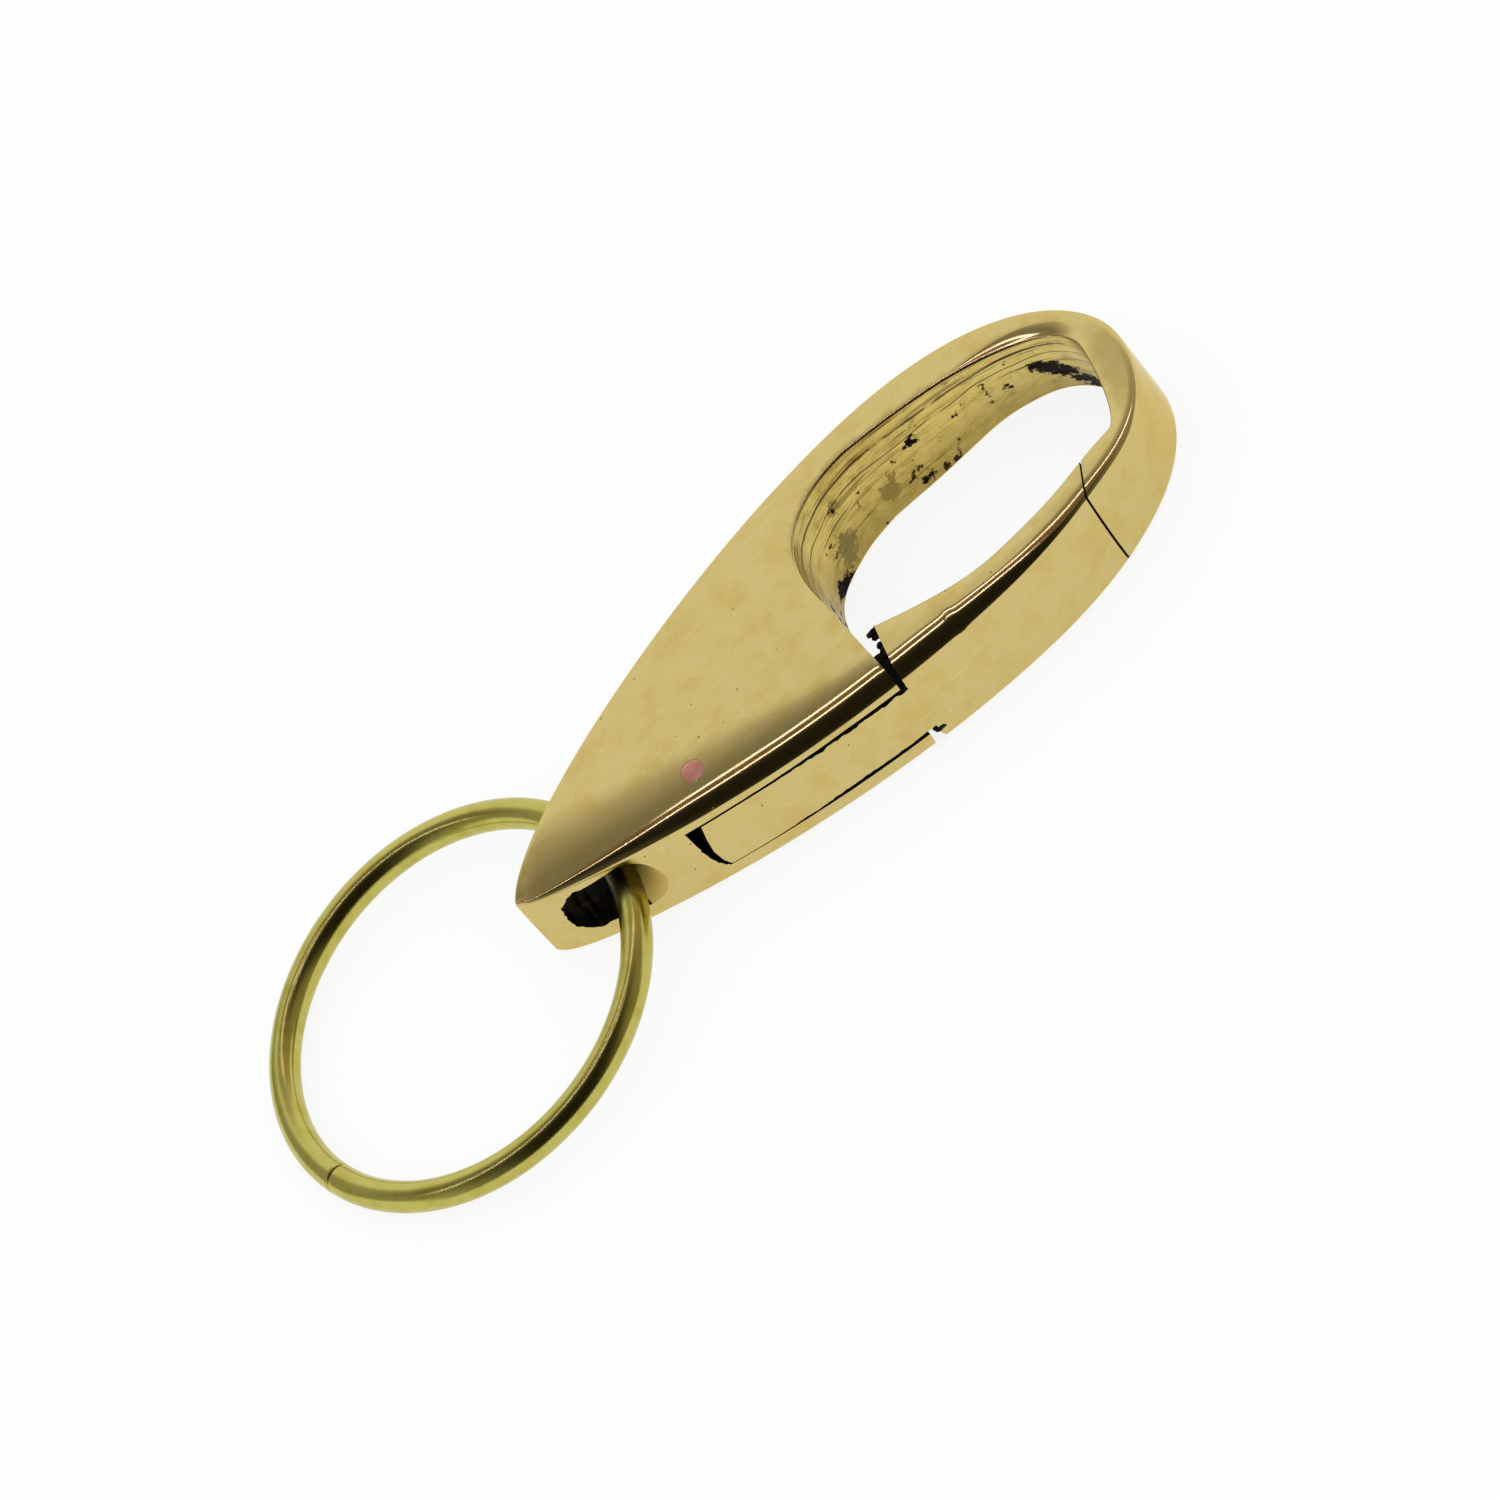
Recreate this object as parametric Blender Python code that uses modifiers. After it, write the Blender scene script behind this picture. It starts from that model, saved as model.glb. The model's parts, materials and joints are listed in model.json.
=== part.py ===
# Snap hook keychain: a cast brass hook whose sprung gate folds into the eye, riveted
# on a copper pin, with a bent wire key ring through a hole in its tip.
# Hook coordinates: X runs from the tip (ring end) to the nose, Y across the hook with
# the gate on the negative side, Z up from the face that the hook lies on. Metres.

import math

import bmesh
import bpy
from mathutils import Matrix, Vector

mm = 0.001

# Casting that body and gate are both cut from
HOOK_LENGTH = 75.9 * mm
HOOK_WIDTH = 30.5 * mm
HOOK_THICKNESS = 10.0 * mm
GATE_SIDE_ROUND = 1.9 * mm
FAR_SIDE_ROUND = 0.8 * mm
REAR_ROUND = 1.2 * mm
END_ROUND = 0.8 * mm
ROUND_FROM_TIP = 10.0 * mm
ROUND_FROM_NOSE = 15.0 * mm
EDGE_STEPS = 4
OUTLINE_STEPS = 26
TIP_DROP = 0.9 * mm
TIP_TAPER = 14.5 * mm

# Eye and the walls that it leaves
EYE_LENGTH = 33.6 * mm
NOSE_WALL = 3.1 * mm
SIDE_WALL = 3.3 * mm
GATE_WALL = 4.5 * mm

# Gate, its tongue and the slot that takes the tongue
PIN_FROM_TIP = 20.1 * mm
PIN_OFFSET = 4.3 * mm
PIN_DIAMETER = 2.5 * mm
CHEEK_WALL = 2.1 * mm
HEEL_RADIUS = 3.6 * mm
TAIL_FROM_PIN = 3.4 * mm
TAIL_ROUND = 3.4 * mm
NOSE_GRIP = 11.9 * mm
SEAM_LEAN = math.radians(30.0)
SHOULDER_LEAN = math.radians(15.5)
CHEEK_LEAN = math.radians(2.6)
TAIL_LEAN = math.radians(9.5)
GATE_TRAVEL = math.radians(15.0)

# Spring between the slot floor and the tongue
SPRING_ARM = 10.2 * mm
SPRING_WIRE = 0.45 * mm
SPRING_DIAMETER = 3.2 * mm
SPRING_CURLS = 7.5
SPRING_CURL_POINTS = 9
POCKET_DEPTH = 4.5 * mm
SEAT_DEPTH = 1.9 * mm

# Key ring
RING_RADIUS = 19.4 * mm
RING_WIRE = 3.0 * mm
RING_STEPS = 96
RING_FROM_TIP = 9.4 * mm
RING_SKEW = math.radians(3.2)
RING_SPLIT = 0.15 * mm
RING_SPLIT_ANGLE = math.radians(195.8)
TIP_WALL = 2.8 * mm

# Clearances
SIDE_PLAY = 0.3 * mm
SEAM_PLAY = 0.3 * mm
HEEL_PLAY = 0.4 * mm
TAIL_PLAY = 0.9 * mm
PIN_PLAY = 0.15 * mm
SPRING_PLAY = 0.3 * mm
RING_PLAY = 0.3 * mm
OVERRUN = 5.0 * mm
WELD = 0.001 * mm

# Places that follow from the sizes above
HALF_WIDTH = HOOK_WIDTH / 2
MID_HEIGHT = HOOK_THICKNESS / 2
SLOT_WIDTH = HOOK_THICKNESS - 2 * CHEEK_WALL
TONGUE_THICKNESS = SLOT_WIDTH - 2 * SIDE_PLAY
PIN = Vector((PIN_FROM_TIP, -PIN_OFFSET, MID_HEIGHT))
EYE_START = HOOK_LENGTH - NOSE_WALL - EYE_LENGTH
EYE_FLOOR = GATE_WALL - HALF_WIDTH
EYE_WIDTH = HOOK_WIDTH - SIDE_WALL - GATE_WALL
OUTSIDE = -(HALF_WIDTH + OVERRUN)
RING_HOLE = Vector((RING_FROM_TIP, 0, MID_HEIGHT))
RING_DROP = math.asin((MID_HEIGHT - RING_WIRE / 2) / (2 * RING_RADIUS))

# Teardrop outline, as shares of the hook's length and half width: knot, handle before
# it and handle after it, from the tip over the far side to the nose
HOOK_SHARES = [
    ((0, 0), (0, -0.285), (0, 0.285)),
    ((0.682, 1), (0.375, 1), (0.912, 1)),
    ((1, 0), (1, 0.437), (1, -0.437)),
]

# Eye outline, as shares of the eye's length and width from the cheeks' corner: up the
# cheeks' side, over the crown, round the nose and back along the gate to its shoulder
EYE_SHARES = [
    ((0, 0.515), (0, 0.515), (0, 0.832)),
    ((0.350, 1), (0.135, 1), (0.318, 1)),
    ((1, 0.536), (1, 0.987), (1, 0.469)),
    ((0.870, 0.070), (0.929, 0.080), (0.690, 0.039)),
    ((0.436, 0), (0.698, 0), (0.307, 0)),
    ((0.050, 0.167), (0.191, 0.071), (0.050, 0.167)),
]


def clear_scene():
    for item in list(bpy.data.objects):
        bpy.data.objects.remove(item, do_unlink=True)


def make_collection(name):
    group = bpy.data.collections.new(name)
    bpy.context.scene.collection.children.link(group)
    return group


def make_material(name, colour, roughness):
    material = bpy.data.materials.new(name)
    material.use_nodes = True
    shader = material.node_tree.nodes["Principled BSDF"]
    shader.inputs["Base Color"].default_value = (*colour, 1)
    shader.inputs["Metallic"].default_value = 1
    shader.inputs["Roughness"].default_value = roughness
    return material


def add_object(name, data, group, location=(0, 0, 0), rotation=(0, 0, 0)):
    item = bpy.data.objects.new(name, data)
    item.location = location
    item.rotation_euler = rotation
    item.parent = frame
    group.objects.link(item)
    return item


def outline_curve(name, depth, bezier_knots=None, corners=None):
    """A closed flat outline, filled and extruded by depth about its own plane."""
    data = bpy.data.curves.new(name, "CURVE")
    data.dimensions = "2D"
    data.fill_mode = "BOTH"
    data.extrude = depth / 2
    data.resolution_u = OUTLINE_STEPS
    if bezier_knots:
        spline = data.splines.new("BEZIER")
        spline.bezier_points.add(len(bezier_knots) - 1)
        for point, (knot, before, after) in zip(spline.bezier_points, bezier_knots):
            point.handle_left_type = point.handle_right_type = "FREE"
            point.co = (*knot, 0)
            point.handle_left = (*before, 0)
            point.handle_right = (*after, 0)
    else:
        spline = data.splines.new("POLY")
        spline.points.add(len(corners) - 1)
        for point, corner in zip(spline.points, corners):
            point.co = (*corner, 0, 1)
    spline.use_cyclic_u = True
    return data


def mesh_from_curve(name, data, group, location=(0, 0, 0), rotation=(0, 0, 0)):
    """The curve's solid as a mesh object, with its caps welded on."""
    curve = add_object(name + "_curve", data, group, location, rotation)
    graph = bpy.context.evaluated_depsgraph_get()
    graph.update()
    mesh = bpy.data.meshes.new_from_object(curve.evaluated_get(graph))
    mesh.name = name
    shape = bmesh.new()
    shape.from_mesh(mesh)
    bmesh.ops.remove_doubles(shape, verts=shape.verts, dist=WELD)
    flat_edges = [edge for edge in shape.edges if len(edge.link_faces) == 2
                  and edge.calc_face_angle() < math.radians(0.01)]
    bmesh.ops.dissolve_edges(shape, edges=flat_edges)
    bmesh.ops.recalc_face_normals(shape, faces=shape.faces)
    shape.to_mesh(mesh)
    shape.free()
    bpy.data.objects.remove(curve, do_unlink=True)
    return add_object(name, mesh, group, location, rotation)


def make_cutter(item):
    item.hide_render = True
    item.display_type = "WIRE"
    return item


def plate_cutter(name, depth, bezier_knots=None, corners=None):
    """A flat outline extruded about the hook's mid height."""
    data = outline_curve(name, depth, bezier_knots, corners)
    return make_cutter(mesh_from_curve(name, data, cutters, (0, 0, MID_HEIGHT)))


def drill(name, diameter, depth, centre, rotation=(0, 0, 0)):
    bpy.ops.mesh.primitive_cylinder_add(vertices=40, radius=diameter / 2, depth=depth,
                                        location=centre, rotation=rotation)
    item = bpy.context.object
    item.name = item.data.name = name
    for group in list(item.users_collection):
        group.objects.unlink(item)
    cutters.objects.link(item)
    item.parent = frame
    return make_cutter(item)


def boolean(item, tool, operation="DIFFERENCE"):
    modifier = item.modifiers.new(tool.name, "BOOLEAN")
    modifier.operation = operation
    modifier.object = tool
    modifier.solver = "EXACT"


def finish(item, material):
    item.data.materials.clear()
    item.data.materials.append(material)
    item.data.shade_smooth()
    item.data.set_sharp_from_angle(angle=math.radians(30))


def turned(point, angle):
    """A point turned about the pin."""
    return Matrix.Rotation(angle, 2) @ point


def tangent_point(point, radius, side):
    """Where the tangent from a point meets a circle about the pin."""
    angle = math.atan2(point.y, point.x) + side * math.acos(radius / point.length)
    return Vector((radius * math.cos(angle), radius * math.sin(angle)))


def arc(radius, first, last, steps=12):
    angles = [first + (last - first) * step / steps for step in range(steps + 1)]
    return [Vector((radius * math.cos(a), radius * math.sin(a))) for a in angles]


def angle_of(point):
    return math.atan2(point.y, point.x) % math.tau


def leaning(root, lean, level):
    """The point at height level of a line through root that leans from the Y axis."""
    return Vector((root.x + (level - root.y) * math.tan(lean), level))


def teardrop_knots():
    upper = [tuple(Vector((x * HOOK_LENGTH, y * HALF_WIDTH)) for x, y in row)
             for row in HOOK_SHARES]
    (knot, before, after) = upper[1]
    flip = Vector((1, -1))
    lower_side = (knot * flip, after * flip, before * flip)
    return upper + [lower_side]


def eye_point(share):
    return Vector((EYE_START + share[0] * EYE_LENGTH, EYE_FLOOR + share[1] * EYE_WIDTH))


def eye_knots():
    return [tuple(eye_point(share) for share in row) for row in EYE_SHARES]


def hook_blank(name, group, origin):
    """The teardrop with rounded edges, its object origin at the given point."""
    data = outline_curve(name, HOOK_THICKNESS, bezier_knots=teardrop_knots())
    item = mesh_from_curve(name, data, group, (0, 0, MID_HEIGHT))
    item.data.transform(Matrix.Translation(Vector((0, 0, MID_HEIGHT)) - origin))
    item.location = origin
    weights = item.data.attributes.new("bevel_weight_edge", "FLOAT", "EDGE")
    for edge in item.data.edges:
        ends = [item.data.vertices[index].co + origin for index in edge.vertices]
        middle = (ends[0] + ends[1]) / 2
        if abs(middle.z - MID_HEIGHT) > MID_HEIGHT - WELD:
            weights.data[edge.index].value = edge_round(middle) / GATE_SIDE_ROUND
    bevel = item.modifiers.new("edge_round", "BEVEL")
    bevel.width = GATE_SIDE_ROUND
    bevel.segments = EDGE_STEPS
    bevel.limit_method = "WEIGHT"
    bevel.use_clamp_overlap = False
    return item


def edge_round(point):
    """Radius of the rounded edge there: widest in front on the gate's side, least at the ends."""
    middle_round = REAR_ROUND
    if point.z > MID_HEIGHT:
        gate_share = (1 - point.y / HALF_WIDTH) / 2
        middle_round = FAR_SIDE_ROUND + (GATE_SIDE_ROUND - FAR_SIDE_ROUND) * gate_share
    share = min(1, point.x / ROUND_FROM_TIP, (HOOK_LENGTH - point.x) / ROUND_FROM_NOSE)
    return END_ROUND + (middle_round - END_ROUND) * max(0, share)


def pin_frame(points):
    return [point + PIN.xy for point in points]


def outward_of_tail():
    return Vector((math.sin(TAIL_LEAN), -math.cos(TAIL_LEAN)))


def tongue_corners(heel, inner):
    """Tongue or slot outline: past the tail, heel arc, then the inner edge."""
    heel_end = tangent_point(inner, heel, 1)
    outward = outward_of_tail()
    tipward = Vector((outward.y, -outward.x))
    tail_foot = tipward * (heel + OVERRUN)
    tail_outside = tail_foot + outward * (OUTSIDE - PIN.y - tail_foot.y) / outward.y
    heel_arc = arc(heel, angle_of(tipward), angle_of(heel_end))
    return pin_frame([tail_outside, tail_foot] + heel_arc + [inner])


def tail_bar(name, from_pin, depth, corner):
    """Bar along the tail's edge, its lower tail corner rounded, that ends tongue or slot."""
    far = 2 * HOOK_LENGTH
    centre = Vector((corner - from_pin, corner - depth / 2))
    rounded = [centre + point
               for point in arc(corner, math.radians(180), math.radians(270))]
    corners = [Vector((-from_pin, depth / 2))] + rounded
    corners += [Vector((far, -depth / 2)), Vector((far, depth / 2))]
    data = outline_curve(name, 2 * HOOK_WIDTH, corners=corners)
    item = mesh_from_curve(name, data, cutters, PIN, (math.radians(90), 0, TAIL_LEAN))
    return make_cutter(item)


def tip_wedge():
    """What the front face loses as it falls towards the tip."""
    above = Vector((0, OVERRUN))
    start = Vector((TIP_TAPER, HOOK_THICKNESS))
    corners = [Vector((-TIP_TAPER, HOOK_THICKNESS - 2 * TIP_DROP)), start,
               start + above, Vector((-TIP_TAPER, start.y)) + above]
    data = outline_curve("tip_wedge", 2 * HOOK_WIDTH, corners=corners)
    item = mesh_from_curve("tip_wedge", data, cutters, (0, 0, 0), (math.radians(90), 0, 0))
    return make_cutter(item)


def build_cutters():
    """Everything that is cut from or shared by body and gate."""
    tools = {}
    through = HOOK_THICKNESS + 2 * OVERRUN
    cheek_corner = eye_point(EYE_SHARES[0][0])
    shoulder = eye_point(EYE_SHARES[-1][0])
    hollow = eye_point(EYE_SHARES[4][0])
    seam_root = Vector((HOOK_LENGTH - NOSE_GRIP, EYE_FLOOR))
    inside = EYE_FLOOR + (cheek_corner.y - EYE_FLOOR) / 2

    tools["eye"] = plate_cutter("eye", through, bezier_knots=eye_knots())

    # Mouth: from the cheeks' end to the nose, open to the gate side
    tools["mouth"] = plate_cutter("mouth", through, corners=[
        cheek_corner,
        leaning(cheek_corner, CHEEK_LEAN, OUTSIDE),
        leaning(seam_root, SEAM_LEAN, OUTSIDE),
        leaning(seam_root, SEAM_LEAN, inside),
        Vector((hollow.x, cheek_corner.y)),
    ])

    # Gate block: between its shoulder and the seam, less the seam's play
    play = Vector((SEAM_PLAY / math.cos(SEAM_LEAN), 0))
    gate_root = seam_root - play
    tools["gate_block"] = plate_cutter("gate_block", through, corners=[
        leaning(shoulder, SHOULDER_LEAN, inside),
        leaning(shoulder, SHOULDER_LEAN, OUTSIDE),
        leaning(gate_root, SEAM_LEAN, OUTSIDE),
        leaning(gate_root, SEAM_LEAN, inside),
    ])

    # Tongue, and the slot that it swings in
    inner = shoulder - PIN.xy
    root = Vector((hollow.x, OUTSIDE)) - PIN.xy
    reach = inner + (hollow - PIN.xy - inner) / 2
    reach.y = (root.y + inner.y) / 2
    tongue = tongue_corners(HEEL_RADIUS, inner)
    tongue += pin_frame([reach, Vector((reach.x, root.y))])
    tools["tongue"] = plate_cutter("tongue", TONGUE_THICKNESS, corners=tongue)
    tongue_end = tail_bar("tongue_end", TAIL_FROM_PIN, TONGUE_THICKNESS + 2 * WELD, TAIL_ROUND)
    boolean(tools["tongue"], tongue_end, "INTERSECT")

    slot_heel = HEEL_RADIUS + HEEL_PLAY
    slot_inner = turned(inner, GATE_TRAVEL)
    slot_inner *= (slot_inner.length + OVERRUN) / slot_inner.length
    slot_inner.y += HEEL_PLAY
    slot = tongue_corners(slot_heel, slot_inner)
    slot += pin_frame([Vector((slot_inner.x, root.y))])
    tools["slot"] = plate_cutter("slot", SLOT_WIDTH, corners=slot)
    slot_end = tail_bar("slot_end", TAIL_FROM_PIN + TAIL_PLAY, SLOT_WIDTH + 2 * WELD,
                        TAIL_ROUND + SIDE_PLAY)
    boolean(tools["slot"], slot_end, "INTERSECT")

    # Pin bores
    bore = PIN_DIAMETER + 2 * PIN_PLAY
    tools["pin_bore"] = drill("pin_bore", bore, through, PIN)

    # Spring: a blind pocket in the slot floor, and a seat in the tongue's inner edge
    tongue_inner = tangent_point(inner, HEEL_RADIUS, 1)
    floor_inner = tangent_point(slot_inner, slot_heel, 1)
    tongue_edge = level_on_line(tongue_inner, inner, SPRING_ARM) + PIN.y
    floor_edge = level_on_line(floor_inner, slot_inner, SPRING_ARM) + PIN.y
    seat = tongue_edge - SEAT_DEPTH
    pocket = floor_edge + POCKET_DEPTH
    bore = SPRING_DIAMETER + 2 * SPRING_PLAY
    across = (math.radians(90), 0, 0)
    place = Vector((PIN.x + SPRING_ARM, 0, MID_HEIGHT))
    depth = pocket - tongue_edge
    tools["spring_pocket"] = drill("spring_pocket", bore, depth,
                                   place + Vector((0, pocket - depth / 2, 0)), across)
    tools["spring_seat"] = drill("spring_seat", bore, depth,
                                 place + Vector((0, seat + depth / 2, 0)), across)
    tools["ring_bell"] = ring_bell()
    tools["ring_slot"] = ring_slot()
    tools["tip_wedge"] = tip_wedge()
    return tools, place, seat, pocket


def level_on_line(first, last, x):
    return first.y + (last.y - first.y) * (x - first.x) / (last.x - first.x)


def ring_bell():
    """Bell-mouthed bore that the bowed wire turns in, revolved about the ring's hinge."""
    reach = HALF_WIDTH
    steps = 10
    wire = RING_WIRE / 2 + RING_PLAY
    profile = [(0, reach)]
    for step in range(steps + 1):
        s = reach - 2 * reach * step / steps
        bow = RING_RADIUS - math.sqrt(RING_RADIUS ** 2 - s ** 2)
        profile.append((wire + bow, s))
    profile.append((0, -reach))
    mesh = bpy.data.meshes.new("ring_bell")
    mesh.from_pydata([(r, 0, s) for r, s in profile],
                     [(i, i + 1) for i in range(len(profile) - 1)], [])
    item = add_object("ring_bell", mesh, cutters, RING_HOLE,
                      (math.radians(-90), 0, -RING_SKEW))
    screw = item.modifiers.new("turned", "SCREW")
    screw.axis = "Z"
    screw.angle = math.tau
    screw.steps = screw.render_steps = 32
    screw.use_merge_vertices = True
    screw.merge_threshold = WELD
    return make_cutter(item)


def ring_slot():
    """The bore drawn out towards the tip: a round-ended slot along the ring's hinge."""
    bow = RING_RADIUS - math.sqrt(RING_RADIUS ** 2 - RING_FROM_TIP ** 2 / 2)
    radius = RING_WIRE / 2 + RING_PLAY + bow
    start = TIP_WALL + radius - RING_FROM_TIP
    tip_end = [point + Vector((start, 0))
               for point in arc(radius, math.radians(90), math.radians(270))]
    corners = tip_end + [Vector((0, -radius)), Vector((0, radius))]
    data = outline_curve("ring_slot", HOOK_WIDTH, corners=corners)
    item = mesh_from_curve("ring_slot", data, cutters, RING_HOLE,
                           (math.radians(90), 0, -RING_SKEW))
    return make_cutter(item)


def build_body(tools):
    body = hook_blank("hook_body", parts, Vector((0, 0, 0)))
    for name in ("eye", "mouth", "slot", "pin_bore", "spring_pocket", "ring_bell",
                 "ring_slot", "tip_wedge"):
        boolean(body, tools[name])
    finish(body, brass)
    return body


def build_gate(tools):
    boolean(tools["tongue"], tools["gate_block"], "UNION")
    gate = hook_blank("gate", parts, PIN)
    boolean(gate, tools["tongue"], "INTERSECT")
    for name in ("eye", "pin_bore", "spring_seat"):
        boolean(gate, tools[name])
    finish(gate, brass)
    return gate


def build_pin():
    """Rivet filed flush with both faces."""
    bpy.ops.mesh.primitive_cylinder_add(vertices=40, radius=PIN_DIAMETER / 2,
                                        depth=HOOK_THICKNESS, location=PIN)
    pin = bpy.context.object
    pin.name = pin.data.name = "pivot_pin"
    for group in list(pin.users_collection):
        group.objects.unlink(pin)
    parts.objects.link(pin)
    pin.parent = frame
    finish(pin, copper)
    return pin


def build_spring(place, seat, pocket):
    """Open coil between the tongue's seat and the pocket's end."""
    radius = (SPRING_DIAMETER - SPRING_WIRE) / 2
    first = seat + SPRING_PLAY + SPRING_WIRE / 2
    last = pocket - SPRING_PLAY - SPRING_WIRE / 2
    count = round(SPRING_CURLS * SPRING_CURL_POINTS)
    points = []
    for step in range(count + 1):
        turn = math.tau * step / SPRING_CURL_POINTS
        along = (last - first) * step / count
        points.append(Vector((radius * math.cos(turn), radius * math.sin(turn), along)))
    gap = min((a - b).length for i, a in enumerate(points)
              for b in points[i + SPRING_CURL_POINTS // 2:]) - SPRING_WIRE
    print("gate_spring least gap to itself, mm:", round(gap / mm, 3))
    data = bpy.data.curves.new("gate_spring", "CURVE")
    data.dimensions = "3D"
    data.bevel_depth = SPRING_WIRE / 2
    data.bevel_resolution = 1
    data.use_fill_caps = True
    spline = data.splines.new("POLY")
    spline.points.add(count)
    for point, place_on_coil in zip(spline.points, points):
        point.co = (*place_on_coil, 1)
    spring = mesh_from_curve("gate_spring", data, parts,
                             place + Vector((0, first, 0)), (math.radians(-90), 0, 0))
    finish(spring, steel)
    return spring


def build_ring():
    """Wire bent to a circle with a butt joint, its origin in the tip's bore."""
    data = bpy.data.curves.new("key_ring", "CURVE")
    data.dimensions = "3D"
    data.bevel_depth = RING_WIRE / 2
    data.bevel_resolution = 4
    data.use_fill_caps = True
    spline = data.splines.new("POLY")
    spline.points.add(RING_STEPS)
    half_split = RING_SPLIT / RING_RADIUS / 2
    sweep = math.tau - 2 * half_split
    for step, point in enumerate(spline.points):
        angle = RING_SPLIT_ANGLE + half_split + sweep * step / RING_STEPS
        x = RING_RADIUS * (math.cos(angle) - 1)
        point.co = (x, RING_RADIUS * math.sin(angle), 0, 1)
    ring = mesh_from_curve("key_ring", data, parts, RING_HOLE, (0, -RING_DROP, -RING_SKEW))
    finish(ring, ring_brass)
    return ring


def place_frame():
    """Puts the origin under the middle of the whole keychain's length and width."""
    ring_middle = RING_HOLE - RING_RADIUS * math.cos(RING_DROP) * Vector(
        (math.cos(RING_SKEW), -math.sin(RING_SKEW), 0))
    ring_far = ring_middle.x - RING_RADIUS * math.cos(RING_DROP) - RING_WIRE / 2
    frame.location = (-(HOOK_LENGTH + ring_far) / 2, -ring_middle.y, 0)


clear_scene()
parts = make_collection("snap_hook_keychain")
cutters = make_collection("cutters")
frame = bpy.data.objects.new("hook_frame", None)
bpy.context.scene.collection.objects.link(frame)

brass = make_material("polished_brass", (0.78, 0.62, 0.25), 0.22)
ring_brass = make_material("drawn_brass", (0.66, 0.58, 0.16), 0.25)
copper = make_material("copper", (0.78, 0.36, 0.24), 0.35)
steel = make_material("spring_steel", (0.55, 0.55, 0.56), 0.30)

cutter_tools, spring_place, spring_seat, spring_pocket = build_cutters()
build_body(cutter_tools)
build_gate(cutter_tools)
build_pin()
build_spring(spring_place, spring_seat, spring_pocket)
build_ring()
place_frame()
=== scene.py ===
# Snap hook keychain in worn polished brass: hook, sprung gate, copper rivet and a bent wire ring.
import json
import math
import time

import bmesh
import bpy
import numpy as np
from mathutils import Matrix, Vector, geometry, noise


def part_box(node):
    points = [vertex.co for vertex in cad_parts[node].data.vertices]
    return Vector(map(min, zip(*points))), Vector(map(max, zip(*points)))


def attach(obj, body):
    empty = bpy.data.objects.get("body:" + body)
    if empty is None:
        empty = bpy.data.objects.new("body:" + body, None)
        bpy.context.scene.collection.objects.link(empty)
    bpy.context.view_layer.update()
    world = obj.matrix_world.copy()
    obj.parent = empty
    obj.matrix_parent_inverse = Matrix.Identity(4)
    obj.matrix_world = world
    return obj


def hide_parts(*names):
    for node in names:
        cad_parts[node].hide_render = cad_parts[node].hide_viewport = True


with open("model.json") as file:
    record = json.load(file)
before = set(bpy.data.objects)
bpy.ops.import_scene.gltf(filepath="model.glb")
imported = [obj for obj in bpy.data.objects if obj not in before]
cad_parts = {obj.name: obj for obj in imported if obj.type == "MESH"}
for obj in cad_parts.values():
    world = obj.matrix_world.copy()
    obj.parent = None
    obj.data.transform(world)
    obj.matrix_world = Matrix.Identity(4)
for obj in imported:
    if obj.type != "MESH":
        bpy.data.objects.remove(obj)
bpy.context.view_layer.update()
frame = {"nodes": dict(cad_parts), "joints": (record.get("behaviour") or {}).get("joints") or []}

mm = 0.001
started = time.time()

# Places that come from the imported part. Hook coordinates: x from the tip to the nose, y across
joints = {joint["name"]: joint for joint in frame["joints"]}
hookLow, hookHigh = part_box("hook_body")
ringLow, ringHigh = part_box("key_ring")
ringPlace = Vector(joints["ring_swing"]["pos_m"])
ringAxis = Vector(joints["ring_swing"]["axis"]).normalized()
hookPlace = Vector((hookLow.x, ringPlace.y, 0))
hookLength = hookHigh.x - hookLow.x
halfWidth = hookHigh.y - hookPlace.y
thickness = hookHigh.z
pin = Vector(joints["gate_hinge"]["pos_m"]) - hookPlace
ringHole = ringPlace - hookPlace


def say(stage):
    print("scene:", stage, "at", round(time.time() - started, 1), "s")


def smooth(value, low, high):
    share = min(1, max(0, (value - low) / (high - low)))
    return share * share * (3 - 2 * share)


def along(table, x):                     # a size off a table of (x, size) in mm, its corners rounded off
    near = x / mm + np.linspace(-2, 2, 9)
    return float(np.interp(near, [row[0] for row in table], [row[1] for row in table]).mean()) * mm


# Flat outlines

def bezierLoop(knots, steps=60):         # knot, handle before, handle after
    points = []
    for (start, _, leave), (end, arrive, _) in zip(knots, knots[1:] + knots[:1]):
        for step in range(steps):
            t = step / steps
            u = 1 - t
            points.append(u ** 3 * start + 3 * u * u * t * leave + 3 * u * t * t * arrive + t ** 3 * end)
    return points


def evenly(points, spacing):             # the same closed loop with points at equal spacing
    loop = np.array([tuple(point) for point in points + points[:1]])
    reach = np.concatenate([[0], np.cumsum(np.linalg.norm(np.diff(loop, axis=0), axis=1))])
    count = round(reach[-1] / spacing)
    places = np.linspace(0, reach[-1], count, endpoint=False)
    return [Vector((float(np.interp(place, reach, loop[:, 0])),
                    float(np.interp(place, reach, loop[:, 1])))) for place in places]


def outward(points):                     # unit normals of a closed loop, pointing out of it
    count = len(points)
    area = sum(points[i].cross(points[(i + 1) % count]) for i in range(count))
    turn = 1 if area > 0 else -1
    normals = []
    for i in range(count):
        run = (points[(i + 1) % count] - points[i - 1]).normalized()
        normals.append(Vector((run.y, -run.x)) * turn)
    return normals


def inside(point, loop):
    crossed = False
    for i, end in enumerate(loop):
        start = loop[i - 1]
        if (start.y > point.y) != (end.y > point.y):
            if point.x < start.x + (end.x - start.x) * (point.y - start.y) / (end.y - start.y):
                crossed = not crossed
    return crossed


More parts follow.
